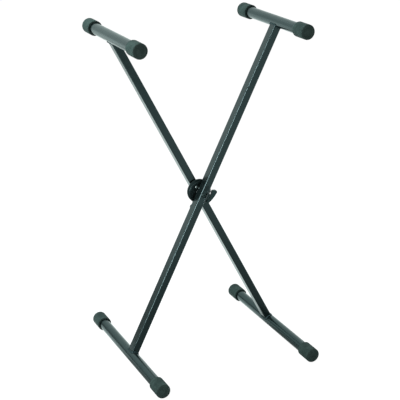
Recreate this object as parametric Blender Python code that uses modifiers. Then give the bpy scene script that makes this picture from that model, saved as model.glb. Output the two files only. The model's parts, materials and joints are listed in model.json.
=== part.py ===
"""Keyboard stand: two crossed tube frames, a notched locking disc and a finger trigger.

Units are metres. +Z is up, +X is to the right and -Y is to the front. The origin is on the
floor under the pivot. The front frame leans to the right at the top and the rear frame to the
left. Each frame is modelled in its own axes: the origin on the pivot, +Z up along its arm,
X across the arm, and -Y away from the other frame. The rear frame's axes are the front
frame's turned half a turn about the upright, so both frames come from the same functions.
"""
import math

import bmesh
import bpy
from mathutils import Matrix, Vector

# Stance
HALF_ANGLE = math.radians(27.0)      # lean of each arm from the upright
UPPER_REACH = 0.530                  # pivot to the axis of an upper bar
LOWER_REACH = 0.516                  # pivot to the axis of a lower bar

# Arms, rectangular tube with rounded corners
ARM_DEPTH = 0.030                    # front to back
ARM_WIDTH = 0.022                    # across, in the plane of the cross
ARM_WALL = 0.0015
ARM_CORNER = 0.003
ARM_GAP = 0.009                      # free space between the two arms

# Pressed recess in the outer face of each arm, a round-ended funnel about the pivot bolt
RECESS_DEPTH = 0.0045
RECESS_MOUTH_LENGTH = 0.060
RECESS_MOUTH_WIDTH = 0.0158
RECESS_FLOOR_LENGTH = 0.024
RECESS_FLOOR_WIDTH = 0.0144

# Cross bars, round tube
BAR_RADIUS = 0.016
BAR_WALL = 0.0015
UPPER_SPAN = 0.386                   # over both end caps
LOWER_SPAN = 0.517

# Rubber end caps
CAP_RADIUS = 0.021
CAP_LENGTH = 0.051
CAP_FLOOR = 0.0045                   # rubber beyond the end of the bar
CAP_EDGE = 0.003                     # rounding of the closed end
CAP_LIP = 0.001                      # rounding of the open end
CAP_DISH_RADIUS = 0.0140             # shallow dish in the closed end
CAP_DISH_DEPTH = 0.0016
CAP_DISH_SLOPE = 0.0012

# Pivot bolt, nut and the pieces on the bolt
BOLT_RADIUS = 0.004
BOLT_HEAD_RADIUS = 0.0067
BOLT_HEAD_HEIGHT = 0.0040
BOLT_HEAD_RIM = 0.3                  # share of the head's height that is straight
BOLT_HEAD_FLAT = 0.6                 # share of the head's radius that is flat on top
BOLT_HEAD_DOME = (0.87, 0.75)        # shares of its radius and height half way up the dome
BOLT_POINT = 0.0006                  # bolt standing out of the nut
SOCKET_FLATS = 0.005
SOCKET_DEPTH = 0.0024
NUT_FLATS = 0.013
NUT_HEX_HEIGHT = 0.0065
NUT_COLLAR_RADIUS = 0.0058
NUT_COLLAR_HEIGHT = 0.0015
SLEEVE_RADIUS = 0.0065
SPACER_RADIUS = 0.010
WASHER_RADIUS = 0.0108
WASHER_THICKNESS = 0.0007

# Locking disc, a pressed plate riveted to the rear arm
DISC_RADIUS = 0.036                  # of the notched side, about the pivot
DISC_THICKNESS = 0.003
DISC_CONE_RADIUS = 0.028             # inner edge of the flat rim
DISC_HUB_RADIUS = 0.022              # flat middle, pressed back against the rear arm
DISC_LOBE_RADIUS = 0.035             # of the plain side, about a centre up the rear arm
DISC_LOBE_SHIFT = 0.0052             # from the pivot to that centre
DISC_LOBE_START = math.radians(50.0)
DISC_LOBE_END = math.radians(228.0)
DISC_BLEND = math.radians(6.0)       # turn in which one outline runs into the other
NOTCH_DEPTH = 0.0022
NOTCH_ROOT = 0.0040                  # width at the root
NOTCH_FLANK = math.radians(20.0)
NOTCH_STEP = math.radians(12.0)
NOTCH_STEPS = (-4, 0, 1, 2, 3, 4)    # folded flat, then the five heights from the top down
DISC_RIVET_REACH = 0.017             # pivot to each disc rivet, along the rear arm
DISC_RIVET_RADIUS = 0.0025
RIVET_HEAD_RADIUS = 0.0042
RIVET_HEAD_HEIGHT = 0.0015

# Trigger, turning on a shoulder rivet in the inner wall of the front arm
TRIGGER_DROP = 0.047                 # pivot to the trigger's axis, down the front arm
LEVER_THICKNESS = 0.003
LEVER_INNER = 0.0390                 # radius of the inner edge about the pivot
LEVER_WIDTH = 0.0080                 # of the curved band
HUB_RADIUS = 0.0085
HUB_THICKNESS = 0.0035
SHOULDER_RADIUS = 0.004
SHOULDER_HEAD_RADIUS = 0.0065
TENON_RADIUS = 0.003
TENON_HEAD_RADIUS = 0.0045
PAWL_ANGLE = math.radians(-36.0)     # in the front frame's axes, from +X towards +Z
PAWL_TIP = 0.0031                    # width of the tooth at its tip
LEVER_END = math.radians(-93.0)      # the band's end, inside the hub

# Moulded grip over the lever's free end
GRIP_THICKNESS = 0.008
GRIP_WALL = 0.0010
GRIP_EDGE = 0.0012
GRIP_START = math.radians(-28.0)
GRIP_FLARE_START = math.radians(-28.0)
GRIP_FLARE_END = math.radians(14.0)
GRIP_FLARE = 0.0075                  # how far the outer edge swells from the band
GRIP_NOSE_RADIUS = 0.006             # outer corner of the free end
GRIP_NOSE_AT = (0.0497, math.radians(18.0))
GRIP_HEEL_RADIUS = 0.003             # inner corner of the free end
GRIP_HEEL_AT = (0.0427, math.radians(21.4))
GRIP_END_FACING = math.radians(117.0)   # way that the blunt end faces
GRIP_NOSE_TURN = math.radians(115.0)    # how far the outer corner turns
EDGE_RUN = math.radians(4.0)         # straight run of the inner edge beside the heel and the tooth

# Trigger spring, torsion coil round the shoulder rivet
WIRE_RADIUS = 0.00035
COIL_RADIUS = 0.0056
COIL_TURNS = 2
LEVER_LEG = (0.0420, math.radians(-71.0))   # where its end enters the lever
ARM_LEG = 0.015                      # trigger axis to where the other end enters the arm
TRIGGER_ENGAGED = math.radians(3.0)  # turn from the drawn position into a notch
TRIGGER_PULLED = math.radians(9.0)   # turn from the drawn position to fully pulled

CLEARANCE = 0.0003                   # between pieces that touch or seat
SHARP_EDGE = math.radians(35.0)      # edges that turn more than this stay sharp
CUT_MARGIN = 0.002                   # how far a cutter runs past what it cuts
ROUND_STEPS = 28
DISC_STEPS = 60
SMALL_STEPS = 20

PIVOT_HEIGHT = LOWER_REACH * math.cos(HALF_ANGLE) + CAP_RADIUS * math.cos(math.pi / ROUND_STEPS)
INNER_FACE = -ARM_GAP / 2            # y of the arm's face towards the other arm
OUTER_FACE = INNER_FACE - ARM_DEPTH
RECESS_FLOOR = OUTER_FACE + RECESS_DEPTH
LEVER_OUTER = LEVER_INNER + LEVER_WIDTH

PARTS = "keyboard_stand"
CUTTERS = "cutters"


def clear_scene():
    """Remove what the file opened with and make the two collections."""
    for obj in list(bpy.data.objects):
        bpy.data.objects.remove(obj, do_unlink=True)
    for name in (PARTS, CUTTERS):
        bpy.context.scene.collection.children.link(bpy.data.collections.new(name))


def material(name, colour, roughness, metallic=0.0):
    """Principled material of one finish."""
    mat = bpy.data.materials.new(name)
    mat.use_nodes = True
    shader = mat.node_tree.nodes["Principled BSDF"]
    shader.inputs["Base Color"].default_value = (*colour, 1.0)
    shader.inputs["Roughness"].default_value = roughness
    shader.inputs["Metallic"].default_value = metallic
    mat.diffuse_color = (*colour, 1.0)
    return mat


def black_paint(name):
    return material(name, (0.020, 0.026, 0.027), 0.32)


def black_rubber(name):
    return material(name, (0.030, 0.036, 0.036), 0.75)


def black_zinc(name):
    return material(name, (0.060, 0.066, 0.068), 0.35, 1.0)


def axis_empty(name, parent=None, matrix=None):
    """Empty that stands on a joint's axis and carries the moving pieces."""
    empty = bpy.data.objects.new(name, None)
    empty.empty_display_size = 0.05
    bpy.data.collections[PARTS].objects.link(empty)
    empty.parent = parent
    empty.matrix_basis = matrix or Matrix.Identity(4)
    return empty


def add_object(name, mesh, parent, mat=None, matrix=None):
    """Link a mesh as a part, or as a cutter when it has no material."""
    obj = bpy.data.objects.new(name, mesh)
    bpy.data.collections[PARTS if mat else CUTTERS].objects.link(obj)
    obj.parent = parent
    obj.matrix_basis = matrix or Matrix.Identity(4)
    if mat:
        mesh.materials.append(mat)
    else:
        obj.hide_render = True
        obj.display_type = 'WIRE'
    mesh.shade_smooth()
    mesh.set_sharp_from_angle(angle=SHARP_EDGE)
    return obj


def mesh_from(bm, name):
    mesh = bpy.data.meshes.new(name)
    bm.to_mesh(mesh)
    bm.free()
    return mesh


def boolean(obj, cutter, operation='DIFFERENCE'):
    """Cut, or join, with another object."""
    mod = obj.modifiers.new(cutter.name, 'BOOLEAN')
    mod.operation = operation
    mod.solver = 'EXACT'
    mod.object = cutter


def rounded_bar(name, width, depth, corner, bottom, top, y_middle):
    """Bar along Z with its four long edges rounded."""
    bm = bmesh.new()
    bmesh.ops.create_cube(bm, size=1.0)
    bmesh.ops.scale(bm, vec=(width, depth, top - bottom), verts=bm.verts)
    bmesh.ops.translate(bm, vec=(0.0, y_middle, (top + bottom) / 2), verts=bm.verts)
    upright = [e for e in bm.edges if abs(e.verts[0].co.z - e.verts[1].co.z) > (top - bottom) / 2]
    bmesh.ops.bevel(bm, geom=upright, offset=corner, segments=4, profile=0.5, affect='EDGES')
    return mesh_from(bm, name)


def cylinder_y(name, radius, y_start, y_end, centre=(0.0, 0.0), steps=SMALL_STEPS):
    """Cylinder, or a prism of few steps with corners up and down, along Y."""
    bm = bmesh.new()
    bmesh.ops.create_cone(bm, cap_ends=True, segments=steps, radius1=radius, radius2=radius,
                          depth=y_end - y_start)
    bmesh.ops.rotate(bm, cent=(0, 0, 0), matrix=Matrix.Rotation(-math.pi / 2, 3, 'X'), verts=bm.verts)
    bmesh.ops.translate(bm, vec=(centre[0], (y_start + y_end) / 2, centre[1]), verts=bm.verts)
    return mesh_from(bm, name)


def turned_mesh(name, profile, steps, closed):
    """Mesh turned about +Z from (radius, height) points that run down the outer side."""
    source = bpy.data.meshes.new(name)
    count = len(profile)
    edges = [(i, i + 1) for i in range(count - 1)]
    if closed:
        edges.append((count - 1, 0))
    source.from_pydata([(radius, 0.0, height) for radius, height in profile], edges, [])
    blank = bpy.data.objects.new(name, source)
    bpy.context.scene.collection.objects.link(blank)
    screw = blank.modifiers.new("turn", 'SCREW')
    screw.axis = 'Z'
    screw.angle = 2 * math.pi
    screw.steps = steps
    screw.render_steps = steps
    screw.use_merge_vertices = True
    screw.merge_threshold = 0.00001
    mesh = baked_mesh(blank, name)
    bpy.data.meshes.remove(source)
    return mesh


def baked_mesh(obj, name):
    """Mesh of an object as its modifiers leave it; the object is removed."""
    bpy.context.view_layer.update()
    evaluated = obj.evaluated_get(bpy.context.evaluated_depsgraph_get())
    mesh = bpy.data.meshes.new_from_object(evaluated)
    mesh.name = name
    bpy.data.objects.remove(obj, do_unlink=True)
    return mesh


def facing_y(centre=(0.0, 0.0), spin=0.0, away=False):
    """Matrix that lays a piece turned about +Z along +Y, or along -Y when it faces away."""
    lay = Matrix.Rotation(math.pi / 2 if away else -math.pi / 2, 4, 'X')
    return Matrix.Translation((centre[0], 0.0, centre[1])) @ lay @ Matrix.Rotation(spin, 4, 'Z')


def arc(centre, radius, start, end, count):
    """Points of an arc in a plane, both ends included."""
    turns = [start + (end - start) * i / count for i in range(count + 1)]
    return [(centre[0] + radius * math.cos(a), centre[1] + radius * math.sin(a)) for a in turns]


def polar(radius, angle):
    return (radius * math.cos(angle), radius * math.sin(angle))


def flat_plate(name, outline, thickness):
    """Plate in the XZ plane, centred on y = 0, from the points of its outline."""
    curve = bpy.data.curves.new(name, 'CURVE')
    curve.dimensions = '2D'
    curve.fill_mode = 'BOTH'
    curve.extrude = thickness / 2
    spline = curve.splines.new('POLY')
    spline.points.add(len(outline) - 1)
    for point, (x, z) in zip(spline.points, outline):
        point.co = (x, z, 0.0, 1.0)
    spline.use_cyclic_u = True
    obj = bpy.data.objects.new(name, curve)
    bpy.context.scene.collection.objects.link(obj)
    mesh = baked_mesh(obj, name)
    bpy.data.curves.remove(curve)
    bm = bmesh.new()
    bm.from_mesh(mesh)
    bmesh.ops.remove_doubles(bm, verts=bm.verts, dist=0.000001)
    bmesh.ops.rotate(bm, cent=(0, 0, 0), matrix=Matrix.Rotation(math.pi / 2, 3, 'X'), verts=bm.verts)
    bmesh.ops.recalc_face_normals(bm, faces=bm.faces)
    bm.to_mesh(mesh)
    bm.free()
    return mesh


def recess_funnel(name, grow, mouth_y):
    """Round-ended funnel about the pivot, its walls moved out by grow, from mouth_y to its floor."""
    floor_y = RECESS_FLOOR + grow
    bm = bmesh.new()
    bmesh.ops.create_cone(bm, cap_ends=True, segments=ROUND_STEPS, radius1=1.0, radius2=1.0, depth=1.0)
    lay = Matrix.Rotation(-math.pi / 2, 3, 'X') @ Matrix.Rotation(math.pi / ROUND_STEPS, 3, 'Z')
    bmesh.ops.rotate(bm, cent=(0, 0, 0), matrix=lay, verts=bm.verts)
    for vert in bm.verts:
        y = floor_y if vert.co.y > 0 else mouth_y
        share = (RECESS_FLOOR - y + grow) / RECESS_DEPTH
        length = RECESS_FLOOR_LENGTH + (RECESS_MOUTH_LENGTH - RECESS_FLOOR_LENGTH) * share
        width = RECESS_FLOOR_WIDTH + (RECESS_MOUTH_WIDTH - RECESS_FLOOR_WIDTH) * share
        straight = math.copysign((length - width) / 2, vert.co.z)
        vert.co = (vert.co.x * (width / 2 + grow), y, vert.co.z * (width / 2 + grow) + straight)
    return mesh_from(bm, name)


def build_arm(name, frame, wall_holes):
    """Rectangular tube, coped to both bars, pressed in and drilled at the pivot.

    wall_holes are (radius, x, z) of further holes through its inner wall.
    """
    middle = (INNER_FACE + OUTER_FACE) / 2
    arm = add_object(name, rounded_bar(name, ARM_WIDTH, ARM_DEPTH, ARM_CORNER, -LOWER_REACH,
                                       UPPER_REACH, middle), frame, black_paint(name + "_paint"))
    bore = rounded_bar(name + "_bore", ARM_WIDTH - 2 * ARM_WALL, ARM_DEPTH - 2 * ARM_WALL,
                       ARM_CORNER - ARM_WALL, -LOWER_REACH - CUT_MARGIN, UPPER_REACH + CUT_MARGIN, middle)
    boolean(arm, add_object(name + "_bore", bore, frame))
    pressed = recess_funnel(name + "_pressed", ARM_WALL, OUTER_FACE + ARM_WALL - CLEARANCE)
    boolean(arm, add_object(name + "_pressed", pressed, frame), 'UNION')
    hollow = recess_funnel(name + "_hollow", 0.0, OUTER_FACE - CUT_MARGIN)
    boolean(arm, add_object(name + "_hollow", hollow, frame))
    cope_reach = ARM_DEPTH / 2 + CUT_MARGIN
    for end, height in (("top", UPPER_REACH), ("foot", -LOWER_REACH)):
        cope = cylinder_y(f"{name}_{end}_cope", BAR_RADIUS + CLEARANCE, middle - cope_reach,
                          middle + cope_reach, (0.0, height), ROUND_STEPS)
        boolean(arm, add_object(f"{name}_{end}_cope", cope, frame))
    drill = cylinder_y(name + "_drill", BOLT_RADIUS + CLEARANCE, OUTER_FACE, INNER_FACE + CUT_MARGIN)
    boolean(arm, add_object(name + "_drill", drill, frame))
    for number, (radius, x, z) in enumerate(wall_holes, 1):
        hole = cylinder_y(f"{name}_hole_{number}", radius, INNER_FACE - ARM_WALL - CUT_MARGIN,
                          INNER_FACE + CUT_MARGIN, (x, z))
        boolean(arm, add_object(f"{name}_hole_{number}", hole, frame))
    return arm


def build_bar(name, frame, height, span):
    """Round tube across the end of an arm, a flat of its skin facing up and one down."""
    half = span / 2 - CAP_FLOOR - CLEARANCE
    profile = [(BAR_RADIUS, half), (BAR_RADIUS, -half),
               (BAR_RADIUS - BAR_WALL, -half), (BAR_RADIUS - BAR_WALL, half)]
    mesh = turned_mesh(name, profile, ROUND_STEPS, closed=True)
    return add_object(name, mesh, frame, black_paint(name + "_paint"), bar_matrix(height, 0.0, False))


def bar_matrix(height, y, away):
    """Place on a bar's axis: level facets, at y along it, facing -Y when away."""
    level = Matrix.Rotation(-HALF_ANGLE, 4, 'Y')
    return Matrix.Translation((0.0, y, height)) @ level @ facing_y((0.0, 0.0), math.pi / ROUND_STEPS, away)


def build_cap(name, frame, height, span, away):
    """Rubber cup pushed on a bar's end, with a dished and rounded closed end."""
    end = CAP_LENGTH
    bore = BAR_RADIUS + CLEARANCE
    profile = [(0.0, end - CAP_DISH_DEPTH), (CAP_DISH_RADIUS - CAP_DISH_SLOPE, end - CAP_DISH_DEPTH),
               (CAP_DISH_RADIUS, end)]
    profile += arc((CAP_RADIUS - CAP_EDGE, end - CAP_EDGE), CAP_EDGE, math.pi / 2, 0.0, 3)
    profile += arc((CAP_RADIUS - CAP_LIP, CAP_LIP), CAP_LIP, 0.0, -math.pi / 2, 2)
    profile += [(bore, 0.0), (bore, end - CAP_FLOOR), (0.0, end - CAP_FLOOR)]
    mesh = turned_mesh(name, profile, ROUND_STEPS, closed=False)
    mouth = span / 2 - CAP_LENGTH
    place = bar_matrix(height, -mouth if away else mouth, away)
    return add_object(name, mesh, frame, black_rubber(name + "_rubber"), place)


def build_bars_and_caps(frame, upper, lower, outer, inner):
    """The two bars of a frame and their four caps; outer and inner name the ends at -Y and +Y."""
    for name, height, span in ((upper, UPPER_REACH, UPPER_SPAN), (lower, -LOWER_REACH, LOWER_SPAN)):
        build_bar(name + "_bar", frame, height, span)
        build_cap(f"{name}_cap_{outer}", frame, height, span, away=True)
        build_cap(f"{name}_cap_{inner}", frame, height, span, away=False)


def build_sleeve(name, frame):
    """Tube inside an arm that the bolt's clamping force goes through."""
    start = RECESS_FLOOR + ARM_WALL + CLEARANCE
    end = INNER_FACE - ARM_WALL - CLEARANCE
    return add_object(name, ring(name, BOLT_RADIUS + CLEARANCE, SLEEVE_RADIUS, start, end),
                      frame, black_zinc(name + "_zinc"), facing_y())


def ring(name, bore, radius, start, end):
    """Plain ring turned about +Z."""
    profile = [(radius, end), (radius, start), (bore, start), (bore, end)]
    return turned_mesh(name, profile, SMALL_STEPS, closed=True)


def build_bolt(frame):
    """Button-head socket bolt: head in the front arm's recess, point past the nut at the back."""
    seat = RECESS_FLOOR - CLEARANCE
    top = seat - BOLT_HEAD_HEIGHT
    point = -RECESS_FLOOR + CLEARANCE + NUT_HEX_HEIGHT + NUT_COLLAR_HEIGHT + BOLT_POINT
    crown = BOLT_HEAD_RADIUS * BOLT_HEAD_FLAT
    dome = (BOLT_HEAD_RADIUS * BOLT_HEAD_DOME[0], seat - BOLT_HEAD_HEIGHT * BOLT_HEAD_DOME[1])
    profile = [(0.0, point), (BOLT_RADIUS - BOLT_POINT, point), (BOLT_RADIUS, point - BOLT_POINT),
               (BOLT_RADIUS, seat), (BOLT_HEAD_RADIUS, seat),
               (BOLT_HEAD_RADIUS, seat - BOLT_HEAD_HEIGHT * BOLT_HEAD_RIM),
               dome, (crown, top), (0.0, top)]
    bolt = add_object("pivot_bolt", turned_mesh("pivot_bolt", profile, SMALL_STEPS, closed=False),
                      frame, black_zinc("pivot_bolt_zinc"), facing_y())
    socket = cylinder_y("bolt_socket", hex_radius(SOCKET_FLATS), top - CUT_MARGIN, top + SOCKET_DEPTH,
                        steps=6)
    boolean(bolt, add_object("bolt_socket", socket, frame))
    return bolt


def hex_radius(flats):
    return flats / math.sqrt(3.0)


def build_nut(frame):
    """Locking nut in the rear arm's recess, its flats along the arm."""
    seat = RECESS_FLOOR - CLEARANCE
    hex_top = seat - NUT_HEX_HEIGHT
    hexagon = cylinder_y("pivot_nut", hex_radius(NUT_FLATS), hex_top, seat, steps=6)
    nut = add_object("pivot_nut", hexagon, frame, black_zinc("pivot_nut_zinc"))
    cone = [(0.0, seat + CUT_MARGIN), (NUT_FLATS, seat + CUT_MARGIN), (NUT_FLATS, hex_top + NUT_FLATS / 4),
            (NUT_FLATS / 2, hex_top - CLEARANCE), (0.0, hex_top - CLEARANCE)]
    blank = turned_mesh("nut_blank", cone, ROUND_STEPS, closed=False)
    boolean(nut, add_object("nut_blank", blank, frame, matrix=facing_y()), 'INTERSECT')
    collar = cylinder_y("nut_collar", NUT_COLLAR_RADIUS, hex_top - NUT_COLLAR_HEIGHT, hex_top + CUT_MARGIN,
                        steps=ROUND_STEPS)
    boolean(nut, add_object("nut_collar", collar, frame), 'UNION')
    thread = cylinder_y("nut_bore", BOLT_RADIUS + CLEARANCE, hex_top - NUT_COLLAR_HEIGHT - CUT_MARGIN,
                        seat + CUT_MARGIN, steps=ROUND_STEPS)
    boolean(nut, add_object("nut_bore", thread, frame))
    return nut


def build_spacer_and_washer(front, rear):
    """Turned spacer against the disc's hub, and the slip washer between it and the front arm."""
    washer_start = INNER_FACE + CLEARANCE
    washer_end = washer_start + WASHER_THICKNESS
    bore = BOLT_RADIUS + CLEARANCE
    add_object("friction_washer", ring("friction_washer", bore, WASHER_RADIUS, washer_start, washer_end),
               front, material("washer_nylon", (0.75, 0.74, 0.70), 0.5), facing_y())
    spacer_end = disc_hub_front() - CLEARANCE
    spacer = ring("pivot_spacer", bore, SPACER_RADIUS, -spacer_end, -(washer_end + CLEARANCE))
    return add_object("pivot_spacer", spacer, rear, black_zinc("pivot_spacer_zinc"), facing_y())


def disc_hub_front():
    """y, in the front frame's axes, of the front of the disc's pressed-back hub."""
    return -INNER_FACE - CLEARANCE - DISC_THICKNESS


def notch_angle(step):
    """World angle, from +X towards +Z, where the pawl meets the disc at a step of the fold."""
    return PAWL_ANGLE - HALF_ANGLE - step * NOTCH_STEP


def disc_outline():
    """Outline of the disc about the pivot: notched side on the pivot, plain side up the rear arm."""
    turns = 46
    plain = [DISC_LOBE_START + (DISC_LOBE_END - DISC_LOBE_START) * i / turns for i in range(turns + 1)]
    points = [polar(lobe_reach(angle), angle) for angle in plain]
    start = DISC_LOBE_END + DISC_BLEND
    return points + arc((0.0, 0.0), DISC_RADIUS, start, DISC_LOBE_START + 2 * math.pi - DISC_BLEND, turns)


def lobe_reach(angle):
    """Distance from the pivot to the edge of the disc's plain side."""
    off = angle - math.pi / 2 - HALF_ANGLE
    across = DISC_LOBE_SHIFT * math.sin(off)
    return DISC_LOBE_SHIFT * math.cos(off) + math.sqrt(DISC_LOBE_RADIUS ** 2 - across ** 2)


def build_disc(frame):
    """Pressed disc: hub against the rear arm, coned out to a flat rim with notches for the pawl."""
    rim = DISC_THICKNESS / 2
    hub = disc_hub_front()
    bore = BOLT_RADIUS + CLEARANCE
    blank = DISC_LOBE_RADIUS + DISC_LOBE_SHIFT + CUT_MARGIN
    profile = [(bore, hub + DISC_THICKNESS), (DISC_HUB_RADIUS, hub + DISC_THICKNESS), (DISC_CONE_RADIUS, rim),
               (blank, rim), (blank, -rim), (DISC_CONE_RADIUS, -rim), (DISC_HUB_RADIUS, hub), (bore, hub)]
    mesh = turned_mesh("locking_disc", profile, DISC_STEPS, closed=True)
    upright = frame.matrix_basis.inverted() @ Matrix.Translation((0.0, 0.0, PIVOT_HEIGHT))
    disc = add_object("locking_disc", mesh, frame, black_paint("locking_disc_paint"), upright @ facing_y())
    die = flat_plate("disc_die", disc_outline(), 2 * ARM_GAP)
    boolean(disc, add_object("disc_die", die, frame, matrix=upright), 'INTERSECT')
    for number, step in enumerate(NOTCH_STEPS, 1):
        name = f"disc_notch_{number}"
        turn = Matrix.Rotation(-notch_angle(step), 4, 'Y')
        boolean(disc, add_object(name, notch_cutter(name), frame, matrix=upright @ turn))
    for number, side in enumerate((1, -1), 1):
        name = f"disc_rivet_hole_{number}"
        centre = (0.0, side * DISC_RIVET_REACH)
        hole = cylinder_y(name, DISC_RIVET_RADIUS + CLEARANCE, -ARM_GAP, ARM_GAP, centre)
        boolean(disc, add_object(name, hole, frame))
    return disc


def notch_cutter(name):
    """Wedge along Y that leaves a notch in the rim at +X."""
    root = DISC_RADIUS - NOTCH_DEPTH
    mouth = DISC_RADIUS + CUT_MARGIN
    flare = (mouth - root) * math.tan(NOTCH_FLANK)
    half = NOTCH_ROOT / 2
    outline = [(root, -half), (mouth, -half - flare), (mouth, half + flare), (root, half)]
    return flat_plate(name, outline, DISC_THICKNESS + 2 * CUT_MARGIN)


def rivet_profile(radius, tail_radius, head_radius, head_seat, tail_seat, height):
    """Rivet along +Z, domed head at the low end and upset tail at the high end."""
    return [(0.0, tail_seat + height), (tail_radius * 0.7, tail_seat + height),
            (tail_radius, tail_seat + height * 0.5), (tail_radius, tail_seat), (radius, tail_seat),
            (radius, head_seat), (head_radius, head_seat), (head_radius * 0.9, head_seat - height * 0.55),
            (head_radius * 0.55, head_seat - height * 0.92), (0.0, head_seat - height)]


def build_disc_rivets(frame):
    """The two rivets through the disc's hub and the rear arm's inner wall."""
    head_seat = disc_hub_front() - CLEARANCE
    tail_seat = -INNER_FACE + ARM_WALL + CLEARANCE
    profile = rivet_profile(DISC_RIVET_RADIUS, RIVET_HEAD_RADIUS, RIVET_HEAD_RADIUS, head_seat, tail_seat,
                            RIVET_HEAD_HEIGHT)
    for name, side in (("disc_rivet_upper", 1), ("disc_rivet_lower", -1)):
        mesh = turned_mesh(name, profile, SMALL_STEPS, closed=False)
        place = Matrix.Rotation(math.pi, 4, 'Z') @ facing_y((0.0, side * DISC_RIVET_REACH))
        add_object(name, mesh, frame, black_zinc(name + "_zinc"), place)


def grip_outer(angle, inset):
    """Radius of the trigger's outer edge at an angle, in the front frame's axes."""
    share = max(0.0, (angle - GRIP_FLARE_START) / (GRIP_FLARE_END - GRIP_FLARE_START))
    return LEVER_OUTER + GRIP_FLARE * share ** 2 - inset


def free_end(inset, start):
    """Outline of the trigger from start round its free end and back, anticlockwise from the outer edge."""
    steps = 12
    outer = [start + (GRIP_FLARE_END - start) * i / steps for i in range(steps)]
    points = [polar(grip_outer(a, inset), a) for a in outer]
    facing = GRIP_END_FACING
    points += arc(polar(*GRIP_NOSE_AT), GRIP_NOSE_RADIUS - inset, facing - GRIP_NOSE_TURN, facing, 7)
    points += arc(polar(*GRIP_HEEL_AT), GRIP_HEEL_RADIUS - inset, facing, facing + math.pi / 2, 4)
    points += arc((0.0, 0.0), LEVER_INNER + inset, GRIP_HEEL_AT[1] - EDGE_RUN, start, 12)
    return points


def lever_outline():
    """Band round the disc with the pawl's tooth inside it and a tang for the grip."""
    tang = GRIP_WALL + CLEARANCE
    band_end = GRIP_START - CLEARANCE / LEVER_INNER
    points = arc((0.0, 0.0), LEVER_OUTER, LEVER_END, band_end, 12)
    points += free_end(tang, band_end)
    points += [polar(LEVER_INNER, band_end)]
    tip = DISC_RADIUS + CLEARANCE
    tip_half = PAWL_TIP / 2 / tip
    base_half = (PAWL_TIP / 2 + (LEVER_INNER - tip) * math.tan(NOTCH_FLANK)) / LEVER_INNER
    points += [polar(LEVER_INNER, PAWL_ANGLE + base_half), polar(tip, PAWL_ANGLE + tip_half),
               polar(tip, PAWL_ANGLE - tip_half), polar(LEVER_INNER, PAWL_ANGLE - base_half)]
    points += arc((0.0, 0.0), LEVER_INNER, PAWL_ANGLE - base_half - EDGE_RUN, LEVER_END, 10)
    return points


def about_trigger(points):
    """Outline points moved from the pivot's axes to the trigger's."""
    return [(x, z + TRIGGER_DROP) for x, z in points]


def build_lever(frame):
    """Stamped steel lever: hub on the shoulder rivet, curved band, pawl tooth and tang."""
    mesh = flat_plate("trigger_lever", about_trigger(lever_outline()), LEVER_THICKNESS)
    lever = add_object("trigger_lever", mesh, frame, black_zinc("trigger_lever_steel"))
    hub = cylinder_y("lever_hub", HUB_RADIUS, -HUB_THICKNESS / 2, HUB_THICKNESS / 2, steps=ROUND_STEPS)
    boolean(lever, add_object("lever_hub", hub, frame), 'UNION')
    bore = cylinder_y("lever_bore", SHOULDER_RADIUS + CLEARANCE, -ARM_GAP, ARM_GAP, steps=ROUND_STEPS)
    boolean(lever, add_object("lever_bore", bore, frame))
    x, z = about_trigger([polar(*LEVER_LEG)])[0]
    eye = cylinder_y("lever_spring_eye", WIRE_RADIUS + CLEARANCE, -ARM_GAP, ARM_GAP, (x, z), steps=12)
    boolean(lever, add_object("lever_spring_eye", eye, frame))
    return lever


def build_grip(frame):
    """Moulded grip with rounded edges and a pocket that the lever's tang fills."""
    mesh = flat_plate("trigger_grip", about_trigger(free_end(0.0, GRIP_START)), GRIP_THICKNESS)
    plastic = material("trigger_grip_plastic", (0.028, 0.034, 0.035), 0.5)
    grip = add_object("trigger_grip", mesh, frame, plastic)
    bevel = grip.modifiers.new("soft_edges", 'BEVEL')
    bevel.width = GRIP_EDGE
    bevel.segments = 2
    bevel.limit_method = 'ANGLE'
    bevel.angle_limit = math.radians(60.0)
    start = GRIP_START - CUT_MARGIN / LEVER_INNER
    inside = about_trigger(free_end(GRIP_WALL, start))
    pocket = flat_plate("grip_pocket", inside, LEVER_THICKNESS + 2 * CLEARANCE)
    boolean(grip, add_object("grip_pocket", pocket, frame))
    return grip


def build_shoulder_rivet(frame):
    """Rivet that the trigger turns on, its tenon through the front arm's inner wall."""
    head = HUB_THICKNESS / 2 + CLEARANCE
    back = -INNER_FACE - CLEARANCE
    wall = INNER_FACE - ARM_WALL - CLEARANCE
    tail = wall - RIVET_HEAD_HEIGHT
    step = INNER_FACE + CLEARANCE
    profile = [(0.0, back), (SHOULDER_HEAD_RADIUS * 0.8, back), (SHOULDER_HEAD_RADIUS, (back + head) / 2),
               (SHOULDER_HEAD_RADIUS, head), (SHOULDER_RADIUS, head), (SHOULDER_RADIUS, step),
               (TENON_RADIUS, step), (TENON_RADIUS, wall), (TENON_HEAD_RADIUS, wall),
               (TENON_HEAD_RADIUS * 0.85, tail), (0.0, tail)]
    mesh = turned_mesh("trigger_rivet", profile, SMALL_STEPS, closed=False)
    place = facing_y((0.0, -TRIGGER_DROP))
    return add_object("trigger_rivet", mesh, frame, black_zinc("trigger_rivet_zinc"), place)


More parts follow.
